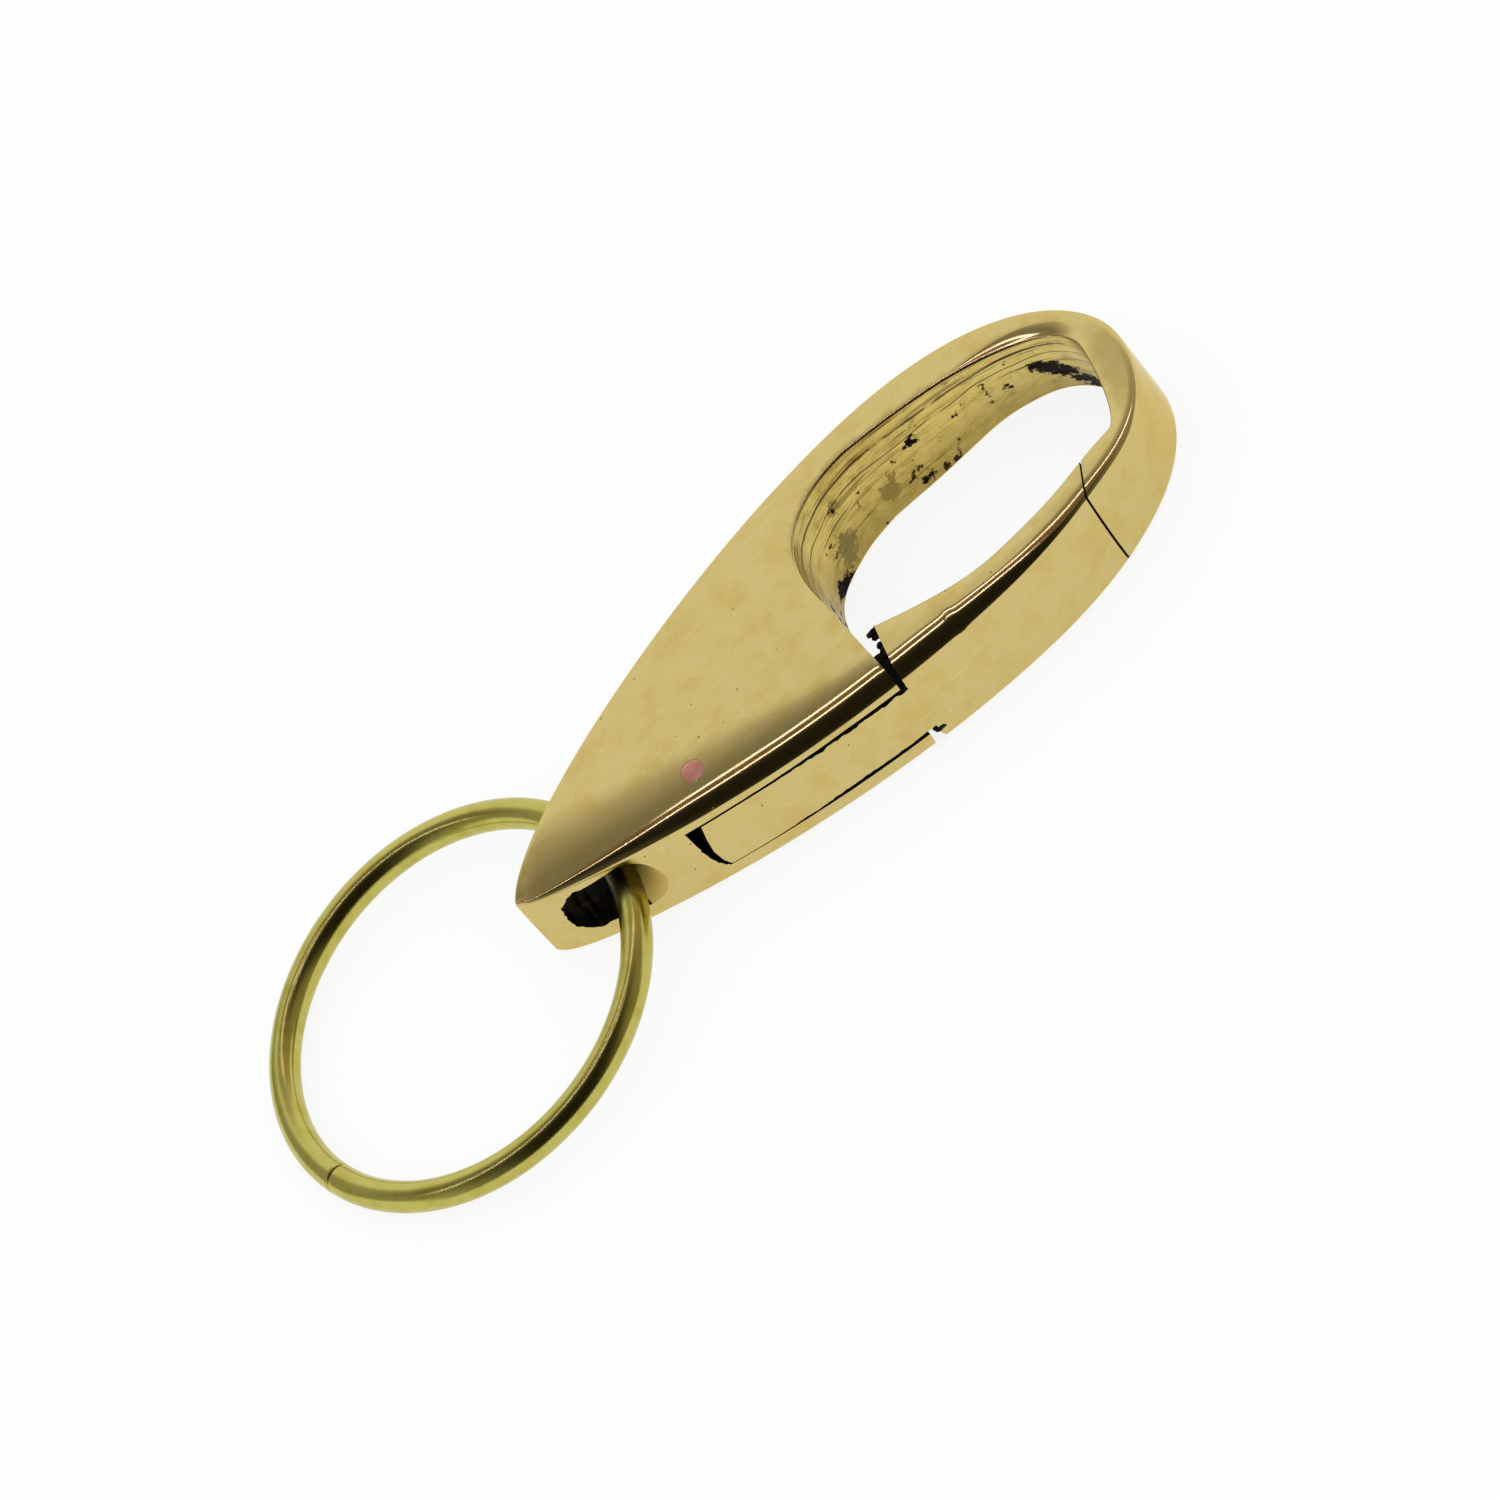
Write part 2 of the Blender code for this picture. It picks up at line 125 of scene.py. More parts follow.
def fillBetween(outer, inner, spacing):  # triangles between an outline and a hole, on a fine grid
    points = list(outer) + list(inner)
    edge = np.array([tuple(point) for point in points])
    edges = [(i, (i + 1) % len(outer)) for i in range(len(outer))]
    edges += [(len(outer) + i, len(outer) + (i + 1) % len(inner)) for i in range(len(inner))]
    low, high = edge[:len(outer)].min(0), edge[:len(outer)].max(0)
    row = 0
    y = low[1]
    while y < high[1]:
        x = low[0] + (row % 2) * spacing / 2
        while x < high[0]:
            place = Vector((float(x), float(y)))
            clear = np.hypot(edge[:, 0] - x, edge[:, 1] - y).min() > spacing * 0.6
            if clear and inside(place, outer) and not (inner and inside(place, inner)):
                points.append(place)
            x += spacing
        y += spacing * 0.87
        row += 1
    made = geometry.delaunay_2d_cdt(points, edges, [], 1, 1e-9)
    corners, faces, sources = made[0], made[2], made[3]
    kept = []
    for face in faces:
        middle = sum((corners[i] for i in face), Vector((0, 0))) / len(face)
        if inside(middle, outer) and not (inner and inside(middle, inner)):
            kept.append([sources[i][0] for i in face])
    return points, kept


# Meshes

def meshObject(name, vertices, faces, materials, marks=None):
    mesh = bpy.data.meshes.new(name)
    mesh.from_pydata([tuple(vertex) for vertex in vertices], [], faces)
    for material in materials:
        mesh.materials.append(material)
    if marks is not None:
        mesh.polygons.foreach_set("material_index", marks)
    shape = bmesh.new()
    shape.from_mesh(mesh)
    loose = [vertex for vertex in shape.verts if not vertex.link_faces]
    bmesh.ops.delete(shape, geom=loose, context="VERTS")
    bmesh.ops.recalc_face_normals(shape, faces=shape.faces)
    shape.to_mesh(mesh)
    shape.free()
    item = bpy.data.objects.new(name, mesh)
    bpy.context.scene.collection.objects.link(item)
    return item


def bridge(faces, first, second, count):     # band of faces between two loops of points
    for i in range(count):
        j = (i + 1) % count
        faces.append((first + i, first + j, second + j, second + i))


def skin(loops, count):                  # faces of a closed tube through that many loops of points
    faces = []
    for loop in range(loops - 1):
        bridge(faces, loop * count, (loop + 1) * count, count)
    last = (loops - 1) * count
    return faces + [tuple(range(count)), tuple(range(last + count - 1, last - 1, -1))]


def combine(item, tool, operation):      # cuts or joins, and uses the tool up
    modifier = item.modifiers.new("cut", "BOOLEAN")
    modifier.operation = operation
    modifier.object = tool
    modifier.solver = "EXACT"
    modifier.material_mode = "TRANSFER"
    graph = bpy.context.evaluated_depsgraph_get()
    mesh = bpy.data.meshes.new_from_object(item.evaluated_get(graph))
    item.modifiers.clear()
    item.data = mesh
    bpy.data.objects.remove(tool, do_unlink=True)


def settle(item, name, body, slot, *nodes, sharp=35):   # names, shades and hangs a finished piece
    item.name = item.data.name = name
    item.data.transform(Matrix.Translation(hookPlace))
    item.data.shade_smooth()
    item.data.set_sharp_from_angle(angle=math.radians(sharp))
    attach(item, body)
    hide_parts(*nodes)


# Shader sums: a socket that can stand in a sum, and the bench that makes its nodes

class Flow:
    def __init__(self, bench, socket):
        self.bench, self.socket = bench, socket

    def __add__(self, other):
        return self.bench.sum("ADD", self, other)

    def __radd__(self, other):
        return self.bench.sum("ADD", other, self)

    def __sub__(self, other):
        return self.bench.sum("SUBTRACT", self, other)

    def __rsub__(self, other):
        return self.bench.sum("SUBTRACT", other, self)

    def __mul__(self, other):
        return self.bench.sum("MULTIPLY", self, other)

    def __rmul__(self, other):
        return self.bench.sum("MULTIPLY", other, self)


class Bench:
    def __init__(self, name):
        self.material = bpy.data.materials.new(name)
        self.material.use_nodes = True
        self.tree = self.material.node_tree
        self.tree.nodes.clear()
        self.place = self.node("ShaderNodeTexCoord", out="Object")

    def node(self, kind, settings=None, values=None, out=0):
        made = self.tree.nodes.new(kind)
        for name, value in (settings or {}).items():
            setattr(made, name, value)
        for name, value in (values or {}).items():
            self.feed(made.inputs[name], value)
        return Flow(self, made.outputs[out])

    def feed(self, socket, value):
        if isinstance(value, Flow):
            self.tree.links.new(value.socket, socket)
        else:
            socket.default_value = value

    def sum(self, operation, first, second):
        return self.node("ShaderNodeMath", {"operation": operation}, {0: first, 1: second})

    def blend(self, share, low, high):
        low = low if isinstance(low, Flow) else (*low, 1)
        high = high if isinstance(high, Flow) else (*high, 1)
        return self.node("ShaderNodeMix", {"data_type": "RGBA"}, {0: share, 6: low, 7: high}, out=2)

    def step(self, value, low, high):
        return self.node("ShaderNodeMapRange", {"interpolation_type": "SMOOTHSTEP"},
                         {"Value": value, "From Min": low, "From Max": high})

    def stretched(self, scale, turn=(0, 0, 0)):
        return self.node("ShaderNodeMapping", None,
                         {"Vector": self.place, "Rotation": [math.radians(a) for a in turn],
                          "Scale": scale})

    def cloud(self, size, detail=3, roughness=0.5, place=None, shift=0):
        place = place or self.place
        if shift:
            place = self.node("ShaderNodeVectorMath", {"operation": "ADD"},
                              {0: place, 1: (shift, shift, shift)})
        return self.node("ShaderNodeTexNoise", None,
                         {"Vector": place, "Scale": 1 / size, "Detail": detail,
                          "Roughness": roughness})

    def dots(self, size, low, high):     # 1 in the dots, 0 between them
        spots = self.node("ShaderNodeTexVoronoi", None,
                          {"Vector": self.place, "Scale": 1 / size}, out="Distance")
        return 1 - self.step(spots, low, high)

    def metal(self, colour, roughness, relief, depth, metallic=1.0, edgeTint=(1, 1, 1)):
        normal = self.node("ShaderNodeBump", None, {"Height": relief, "Distance": depth})
        return self.finish(self.node("ShaderNodeBsdfPrincipled", None,
                                     {"Base Color": colour, "Roughness": roughness, "Metallic": metallic,
                                      "Specular Tint": (*edgeTint, 1), "Normal": normal}))

    def finish(self, shader):
        output = self.tree.nodes.new("ShaderNodeOutputMaterial")
        self.feed(output.inputs["Surface"], shader)
        return self.material


def polishedBrass():
    look = dict(bright=(0.622, 0.495, 0.19), warm=(0.58, 0.435, 0.13), pit=(0.16, 0.12, 0.03),
                worn=(0.72, 0.62, 0.30), edge=(0.94, 0.85, 0.60))
    b = Bench("polished_cast_brass")
    mottle = b.cloud(3.2 * mm, 5, 0.65)
    fleck = b.cloud(1.1 * mm, 3, 0.6, shift=0.3)
    where = b.cloud(9 * mm, 1, 0.5, shift=0.7)
    pits = b.dots(1.9 * mm, 0.035, 0.07) * b.step(where, 0.46, 0.60)
    rubMarksAndGlints = b.cloud(0.5 * mm, 2, 0.5, place=b.stretched((0.10, 1, 1), (0, 0, 38)))
    brushed = b.cloud(0.16 * mm, 2, 0.5, place=b.stretched((0.05, 1, 0.35), (0, 24, 0)))
    scratched = b.step(b.cloud(0.32 * mm, 1, 0.5, place=b.stretched((0.035, 1, 1), (0, 0, 52))), 0.70, 0.74)
    scored = b.step(b.cloud(0.40 * mm, 1, 0.5, place=b.stretched((0.06, 0.5, 1), (18, 30, 0))), 0.72, 0.76)
    colour = b.blend(b.step(mottle, 0.44, 0.70) * 0.8, look["bright"], look["warm"])
    colour = b.blend(b.step(fleck, 0.60, 0.70) * 0.5, colour, look["warm"])
    colour = b.blend(scratched * 0.35, colour, look["worn"])
    colour = b.blend(scored * 0.5, colour, look["warm"])
    colour = b.blend(pits * 0.85, colour, look["pit"])
    roughness = 0.07 + b.step(mottle, 0.35, 0.75) * 0.05 + rubMarksAndGlints * 0.03 + pits * 0.3
    swell = b.cloud(4.0 * mm, 1, 0.5, shift=0.9)
    relief = swell + brushed * 0.008 + rubMarksAndGlints * 0.015 - pits * 1.2 - scratched * 0.04
    return b.metal(colour, roughness, relief, 0.012 * mm, edgeTint=look["edge"])


def castWall():                          # the eye's wall as cast, with soot and old polish in its hollows
    look = dict(bright=(0.70, 0.54, 0.155), dull=(0.36, 0.26, 0.06), dark=(0.012, 0.008, 0.004),
                green=(0.22, 0.17, 0.045), brown=(0.28, 0.19, 0.05))
    blots = dict(dark=[((55.96, 11.5, 6.0), 0.75), ((55.2, 11.7, 4.3), 0.35), ((54.9, 11.7, 3.0), 0.5),
                       ((55.3, 11.6, 1.2), 0.8), ((69.3, 7.3, 5.3), 0.9), ((70.15, 6.7, 4.3), 1.2),
                       ((71.0, 5.9, 3.4), 1.0), ((71.84, 4.8, 1.9), 1.0), ((72.3, 3.9, 0.9), 0.9),
                       ((43.0, 9.7, 0.3), 1.3), ((60.7, 10.7, 5.1), 0.35), ((66.2, 9.0, 4.2), 0.4),
                       ((46.5, 11.4, 6.4), 0.4), ((41.9, 8.4, 1.2), 0.8)],
                 green=[((45.3, 11.0, 2.8), 1.5), ((44.6, 10.7, 1.6), 1.2)],
                 brown=[((51.8, 11.9, 2.9), 1.3), ((52.6, 11.8, 4.2), 0.8), ((46.5, 11.4, 6.6), 0.9)])
    b = Bench("rough_cast_brass")
    grooves = b.cloud(0.34 * mm, 3, 0.6, place=b.stretched((0.035, 0.035, 1)))
    deepGrooves = b.cloud(0.8 * mm, 2, 0.5, place=b.stretched((0.06, 0.06, 1)), shift=0.05)
    grain = b.cloud(1.0 * mm, 6, 0.72, place=b.stretched((0.6, 0.6, 1)))
    patina = b.cloud(2.6 * mm, 5, 0.62, shift=0.11)
    wobble = b.cloud(0.7 * mm, 5, 0.7, shift=0.2)
    height = b.node("ShaderNodeSeparateXYZ", None, {"Vector": b.place}, out="Z")
    low = 1 - b.step(height, 0.8 * mm, 6.5 * mm)
    colour = b.blend(b.step(grain, 0.35, 0.75) * 0.5, look["bright"], look["dull"])
    colour = b.blend(b.step(grain + low * 0.16 + patina * 0.30, 0.74, 0.88) * 0.7, colour, look["dull"])
    colour = b.blend(b.step(grooves, 0.60, 0.68) * 0.8, colour, look["dark"])
    colour = b.blend(b.step(deepGrooves, 0.64, 0.70) * 0.7, colour, look["brown"])
    flat = Vector((1, 0.4, 1))           # depth into the wall counts less
    squeezed = b.node("ShaderNodeVectorMath", {"operation": "MULTIPLY"}, {0: b.place, 1: flat})
    # darker towards the bottom of the wall
    colour = b.blend(low * 0.80, colour, look["dull"])
    soot = b.step(patina + low * 0.05, 0.66, 0.70) * 0.9
    for tone in ("brown", "green", "dark"):
        for place, size in blots[tone]:
            away = b.node("ShaderNodeVectorMath", {"operation": "DISTANCE"},
                          {0: squeezed, 1: (hookPlace + Vector(place) * mm) * flat}, out="Value")
            blot = 1 - b.step(away * (1 / mm) + wobble * 3.0 - 1.5, size * 0.7, size * 1.1)
            colour = b.blend(blot, colour, look[tone])
            if tone == "dark":
                soot = b.sum("MAXIMUM", soot, blot)
    colour = b.blend(soot, colour, look["dark"])
    for level, width in ((8.35, 0.09), (6.9, 0.05)):      # long scores under the rim
        drift = b.node("ShaderNodeMath", {"operation": "ABSOLUTE"},
                       {0: height * (1 / mm) + b.cloud(9 * mm, 2, shift=level) * 1.2 - level - 0.6})
        score = (1 - b.step(drift, width, width * 2)) * b.step(patina, 0.36, 0.46)
        colour = b.blend(score * 0.8, colour, look["dark"])
    roughness = 0.22 + grain * 0.18 + soot * 0.4
    relief = grooves * -0.8 + deepGrooves * -1.2 + grain * 0.6 + patina * 0.4
    return b.metal(colour, roughness, relief, 0.10 * mm)


def paintedBoreShade():                       # inside the ring's hole: painted shade, near black, with faint lighter streaks as painted glints
    b = Bench("painted_bore_shade")
    rubMarksAndGlints = b.cloud(1.3 * mm, 3, 0.6, shift=0.4)
    colour = b.blend(b.step(rubMarksAndGlints, 0.50, 0.80), (0.012, 0.009, 0.004), (0.06, 0.045, 0.012))
    return b.metal(colour, 0.5, rubMarksAndGlints, 0.02 * mm)


def rubbedFlare():                       # the hole's mouth on the eye's side, rubbed dull
    b = Bench("rubbed_brass")
    grain = b.cloud(0.8 * mm, 4, 0.6)
    colour = b.blend(grain, (0.90, 0.68, 0.19), (0.85, 0.61, 0.15))
    return b.metal(colour, 0.8, grain, 0.01 * mm, 0.0)


# painted shade: the cut faces in the slot, the mouth, the shoulder gap and the pin bore, and the burrs, are
# painted near black where those gaps lie in shade
def paintedGapShade():
    b = Bench("painted_gap_shade")
    grain = b.cloud(0.4 * mm, 4, 0.6)
    colour = b.blend(b.step(grain, 0.45, 0.75), (0.012, 0.008, 0.004), (0.045, 0.032, 0.012))
    return b.metal(colour, 0.55 + grain * 0.25, grain, 0.05 * mm, 0.7)


def copperRivet():
    b = Bench("filed_copper")
    grain = b.cloud(0.25 * mm, 3, 0.6)
    streaks = b.cloud(0.4 * mm, 4, 0.65, place=b.stretched((0.3, 1, 1), (0, 0, 40)))
    colour = b.blend(b.step(streaks, 0.35, 0.70), (0.66, 0.31, 0.22), (0.56, 0.24, 0.16))
    return b.metal(colour, 0.28 + grain * 0.12, streaks, 0.002 * mm)


def drawnBrass():
    b = Bench("drawn_brass_wire")
    mottle = b.cloud(2.2 * mm, 4, 0.6)
    grain = b.cloud(0.25 * mm, 3, 0.6)
    spots = b.dots(2.6 * mm, 0.03, 0.06) * b.step(b.cloud(6 * mm, 1), 0.52, 0.62)
    colour = b.blend(b.step(mottle, 0.40, 0.70), (0.53, 0.475, 0.12), (0.46, 0.41, 0.075))
    colour = b.blend(spots * 0.9, colour, (0.06, 0.05, 0.01))
    away = b.node("ShaderNodeVectorMath", {"operation": "DISTANCE"},
                  {0: b.place, 1: ringPlace}, out="Value")
    holeShade = 1 - b.step(away + mottle * mm, 6.4 * mm, 8.2 * mm)      # painted shade where the wire lies in the hole
    colour = b.blend(holeShade * 0.9, colour, (0.09, 0.075, 0.025))
    roughness = 0.18 + mottle * 0.05 + holeShade * 0.2
    return b.metal(colour, roughness, mottle * 0.5 + grain * 0.02, 0.006 * mm)


def oiledSteel():
    b = Bench("oiled_spring_steel")
    grain = b.cloud(0.5 * mm, 3, 0.6)
    colour = b.blend(grain, (0.30, 0.29, 0.27), (0.50, 0.50, 0.49))
    return b.metal(colour, 0.25 + grain * 0.2, grain, 0.01 * mm)


brass, wall, gapShade, boreShade, flare = polishedBrass(), castWall(), paintedGapShade(), paintedBoreShade(), rubbedFlare()
copper, wire, steel = copperRivet(), drawnBrass(), oiledSteel()
say("finishes mixed")


# Casting that hook and gate are both cut from

casting = dict(
    outline=[((0, 0), (0.018, -0.262), (0.018, 0.274)),      # shares of length and half width
             ((0.682, 1), (0.376, 1), (0.912, 1)),
             ((1, 0), (1, 0.437), (1, -0.437))],
    spacing=0.42 * mm, gridSpacing=0.75 * mm, fineSpacing=0.05 * mm, fineSteps=400,
    # Places along the hook and sizes there, in mm
    gateSideLean=[(0, 0.15), (4, 0.6), (10, 0.9), (15, 1.02), (20, 1.12), (34, 1.2), (44, 1.28), (52, 0.97),
                  (60, 0.65), (64, 0.5), (67, 0.0), (70, -0.25), (73, -0.2), (76, 0.3)],
    gateSideRound=[(0, 0.3), (5, 0.85), (10, 1.4), (16, 2.03), (24, 2.25), (37, 2.25), (44, 2.2),
                   (52, 1.5), (60, 0.5), (66, 0.5), (70, 0.6), (73, 0.45), (76, 0.25)],
    crown=[(0, 0.4), (3, 0.8), (6, 2.8), (12, 4.2), (20, 5.2), (36, 5.1), (44, 4.7), (52, 3.6),
           (60, 4.5), (66, 2.6), (76, 1.2)],
    brow=[(0, 0.2), (3, 0.4), (8, 1.2), (20, 2.2), (40, 2.2), (46, 2.0), (52, 1.2), (60, 3.5),
          (66, 4.5), (76, 2.5)],         # where the crown starts
    shade=[(0, 9), (10, 9), (20, 8.4), (28, 7.4), (33, 6.0), (38, 4.9)],  # how far the worn fall reaches
    roundTop=72, roundEnd=18, crownEnd=9, steepest=85,       # degrees
    edgeSteps=6, sideSteps=10, roundSteps=14, crownSteps=4,
    farRound=0.7 * mm, farLean=0.05 * mm, rearRound=1.2 * mm, rearTipRound=0.7 * mm, endReach=10 * mm,
    shadeSlope=0.125, shadeStart=3.3 * mm, cheekEnd=39 * mm, tipDrop=0.6 * mm, tipReach=18 * mm,
    noseDrop=0.35 * mm, noseFrom=63 * mm, leastLean=-0.3 * mm,
    dent=0.38 * mm, dentAt=46.2 * mm, dentSize=0.55 * mm,
)

eye = dict(
    start=39.2 * mm, length=33.6 * mm, floor=-10.93 * mm, width=22.88 * mm,
    outline=[((0, 0.515), (0, 0.515), (0, 0.832)),           # shares of the eye's length and width
             ((0.350, 1), (0.135, 1), (0.318, 1)),
             ((1, 0.536), (1, 0.925), (1, 0.469)),
             ((0.870, 0.070), (0.929, 0.080), (0.690, 0.039)),
             ((0.436, 0), (0.698, 0), (0.307, 0)),
             ((0.050, 0.167), (0.191, 0.071), (0.050, 0.167))],
    spacing=0.30 * mm, rows=34, rim=0.25 * mm, rearRim=0.4 * mm, rimSteps=6, roughness=0.11 * mm,
    noseRim=1.25 * mm, noseSlope=0.09, noseBend=0.11, slopeShares=(0, 0.06, 0.25, 0.45, 0.65, 0.85),
    draft=[(40, 0.0), (43, 1.25), (50, 1.3), (56, 0.8), (60, 0.0), (64, -1.2), (70, -1.6), (73, -0.3)],
)


def sharePoint(share):
    return Vector((eye["start"] + share[0] * eye["length"], eye["floor"] + share[1] * eye["width"]))


upperSide = [tuple(Vector((x * hookLength, y * halfWidth)) for x, y in row) for row in casting["outline"]]
widest = upperSide[1]
flip = Vector((1, -1))
blankKnots = upperSide + [(widest[0] * flip, widest[2] * flip, widest[1] * flip)]
blankEdge = evenly(bezierLoop(blankKnots), casting["spacing"])
blankNormals = outward(blankEdge)
fineEdge = evenly(bezierLoop(blankKnots, casting["fineSteps"]), casting["fineSpacing"])
gateEdge = np.array([tuple(point) for point in fineEdge if point.y < 0])
eyeEdge = evenly(bezierLoop([tuple(sharePoint(share) for share in row) for row in eye["outline"]]),
                 eye["spacing"])
eyeNormals = outward(eyeEdge)


def frontHeight(x, y):                   # height of the flat front, with its worn fall to the gate's side
    fall = casting["tipDrop"] * max(0, 1 - x / casting["tipReach"]) ** 2
    nearGate = 1 - smooth(y, -10 * mm, 4 * mm)
    fall += casting["noseDrop"] * smooth(x, casting["noseFrom"], hookLength) * nearGate
    away = float(np.hypot(gateEdge[:, 0] - x, gateEdge[:, 1] - y).min())
    reach = along(casting["shade"], x)
    if away < reach and x < casting["cheekEnd"]:
        fall += casting["shadeSlope"] / (2 * (reach - casting["shadeStart"])) * (reach - away) ** 2
    return thickness - fall


def edgeSection(point, normal):          # inset and height of each row, from the rear up to the front
    nearSide = smooth(-normal.y, -0.25, 0.35)
    toNose = hookLength - point.x
    lean = casting["farLean"] + (along(casting["gateSideLean"], point.x) - casting["farLean"]) * nearSide
    lean = max(lean, -0.25 * toNose, casting["leastLean"])
    ends = max(0, min(1, point.x / casting["endReach"], toNose / casting["endReach"]))
    rear = casting["rearTipRound"] + (casting["rearRound"] - casting["rearTipRound"]) * ends
    far = casting["farRound"] * (0.45 + 0.55 * min(1, point.x / (5 * mm)))
    dent = math.exp(-((point.x - casting["dentAt"]) / casting["dentSize"]) ** 2) * casting["dent"]
    sizes = (along(casting["gateSideRound"], point.x) + dent, along(casting["crown"], point.x),
             along(casting["brow"], point.x))
    radius, crown, brow = (far + (size - far) * nearSide for size in sizes)
    split, turnOver = math.radians(casting["roundEnd"]), math.radians(casting["crownEnd"])
    high, slope = math.radians(casting["roundTop"]), 0.0
    for _ in range(4):                   # the front falls towards the edge, so they meet after a few tries
        inset = lean + radius * (math.sin(high) - math.sin(split))
        inset += crown * (math.sin(split) - math.sin(turnOver))
        inset += brow * (math.sin(turnOver) - math.sin(min(slope, turnOver)))
        spot = point - normal * inset
        top = frontHeight(spot.x, spot.y)
        further = spot - normal * (0.2 * mm)
        slope = max(0, math.atan((frontHeight(further.x, further.y) - top) / (0.2 * mm)))
        slope = min(slope, turnOver) * nearSide
        knee = top - brow * (math.cos(slope) - math.cos(turnOver))
        knee -= crown * (math.cos(turnOver) - math.cos(split))
        knee -= radius * (math.cos(split) - math.cos(high))
        high = min(math.radians(casting["steepest"]), math.atan2(knee - rear, 2 * max(lean, 0)))
    rows = []
    for step in range(casting["edgeSteps"] + 1):             # rear edge
        turn = math.radians(90) * step / casting["edgeSteps"]
        rows.append((rear * (1 - math.sin(turn)), rear * (1 - math.cos(turn))))
    for step in range(1, casting["sideSteps"] + 1):          # side, leaning in more and more
        share = step / casting["sideSteps"]
        rows.append((lean * share * share, rear + (knee - rear) * share))
    for step in range(1, casting["roundSteps"] + 1):         # rounded front edge
        turn = high + (split - high) * step / casting["roundSteps"]
        rows.append((lean + radius * (math.sin(high) - math.sin(turn)),
                     knee + radius * (math.cos(turn) - math.cos(high))))
    for bend, first, last in ((crown, split, turnOver), (brow, turnOver, slope)):
        bent = rows[-1]                  # crown that runs into the front
        for step in range(1, casting["crownSteps"] + 1):
            turn = first + (last - first) * step / casting["crownSteps"]
            rows.append((bent[0] + bend * (math.sin(first) - math.sin(turn)),
                         bent[1] + bend * (math.cos(turn) - math.cos(first))))
    return rows


def noseShare(point):                    # how far the rim there widens into the worn slope at the nose
    return smooth(point.y, -1.5 * mm, 5 * mm) * smooth(point.x, 61 * mm, 70 * mm)


def wallShift(point, height):            # how far the wall stands into the eye there
    draft = along(eye["draft"], point.x) * smooth(point.y, -2 * mm, 6 * mm) * (1 - height / thickness)
    ridges = noise.noise(Vector((point.x / (9 * mm), point.y / (9 * mm), height / (0.9 * mm))))
    lumps = noise.noise(Vector((point.x / (2.2 * mm), point.y / (2.2 * mm), height / (1.8 * mm))))
    fade = smooth(height, 0, 0.8 * mm) * (1 - smooth(height, thickness - 1.2 * mm, thickness - 0.3 * mm))
    return eye["rim"] + draft + eye["roughness"] * (0.7 * ridges + 0.6 * lumps) * fade


def eyeColumn(point, normal):            # place and height of each row, from the front down the eye's wall
    wide = eye["noseRim"] * noseShare(point)
    outerSpot = point + normal * wide
    top = frontHeight(outerSpot.x, outerSpot.y)
    column = []
    for share in eye["slopeShares"]:     # worn slope, from the flat to the rim
        sag = wide * (eye["noseSlope"] * share + eye["noseBend"] * share ** 2)
        column.append((outerSpot - normal * wide * share, top - sag))
    top -= wide * (eye["noseSlope"] + eye["noseBend"])
    turns = [math.radians(90) * step / eye["rimSteps"] for step in range(eye["rimSteps"] + 1)]
    for turn in turns:                   # front rim
        column.append((point - normal * (eye["rim"] * math.sin(turn)),
                       top - eye["rim"] * (1 - math.cos(turn))))
    foot = column[-1][1]
    for step in range(1, eye["rows"]):   # wall
        height = foot + (eye["rearRim"] - foot) * step / (eye["rows"] - 1)
        column.append((point - normal * wallShift(point, height), height))
    shift = wallShift(point, eye["rearRim"])
    for turn in turns[1:]:               # rear rim
        column.append((point + normal * (eye["rearRim"] * (1 - math.cos(turn)) - shift),
                       eye["rearRim"] * (1 - math.sin(turn))))
    return column


def buildBlank():
    sections = [edgeSection(point, normal) for point, normal in zip(blankEdge, blankNormals)]
    columns = [eyeColumn(point, normal) for point, normal in zip(eyeEdge, eyeNormals)]
    rows, count = len(sections[0]), len(blankEdge)
    eyeRows, eyeCount = len(columns[0]), len(eyeEdge)
    vertices, faces = [], []
    for row in range(rows):
        for point, normal, section in zip(blankEdge, blankNormals, sections):
            inset, height = section[row]
            vertices.append((*(point - normal * inset), height))
    for row in range(rows - 1):
        bridge(faces, row * count, (row + 1) * count, count)
    marks = [0] * len(faces)
    eyeBase = len(vertices)
    for row in range(eyeRows):
        vertices += [(*column[row][0], column[row][1]) for column in columns]
    roughFrom = len(eye["slopeShares"]) + eye["rimSteps"]
    for row in range(eyeRows - 1):
        bridge(faces, eyeBase + row * eyeCount, eyeBase + (row + 1) * eyeCount, eyeCount)
        marks += [int(roughFrom <= row < eyeRows - eye["rimSteps"])] * eyeCount
    for outerRow, eyeRow, front in ((rows - 1, 0, True), (0, eyeRows - 1, False)):
        outerBase, innerBase = outerRow * count, eyeBase + eyeRow * eyeCount
        outer = [Vector(vertices[outerBase + i][:2]) for i in range(count)]
        inner = [Vector(vertices[innerBase + i][:2]) for i in range(eyeCount)]
        points, filled = fillBetween(outer, inner, casting["gridSpacing"])
        extra = len(vertices)
        for spot in points[count + eyeCount:]:
            vertices.append((spot.x, spot.y, frontHeight(spot.x, spot.y) if front else 0.0))
        known = [*range(outerBase, outerBase + count), *range(innerBase, innerBase + eyeCount),
                 *range(extra, len(vertices))]
        faces += [tuple(known[i] for i in face) for face in filled]
        marks += [0] * len(filled)
    return meshObject("blank", vertices, faces, (brass, wall, gapShade), marks)


blank = buildBlank()
say(f"casting blank of {len(blank.data.polygons)} faces")


# Cuts

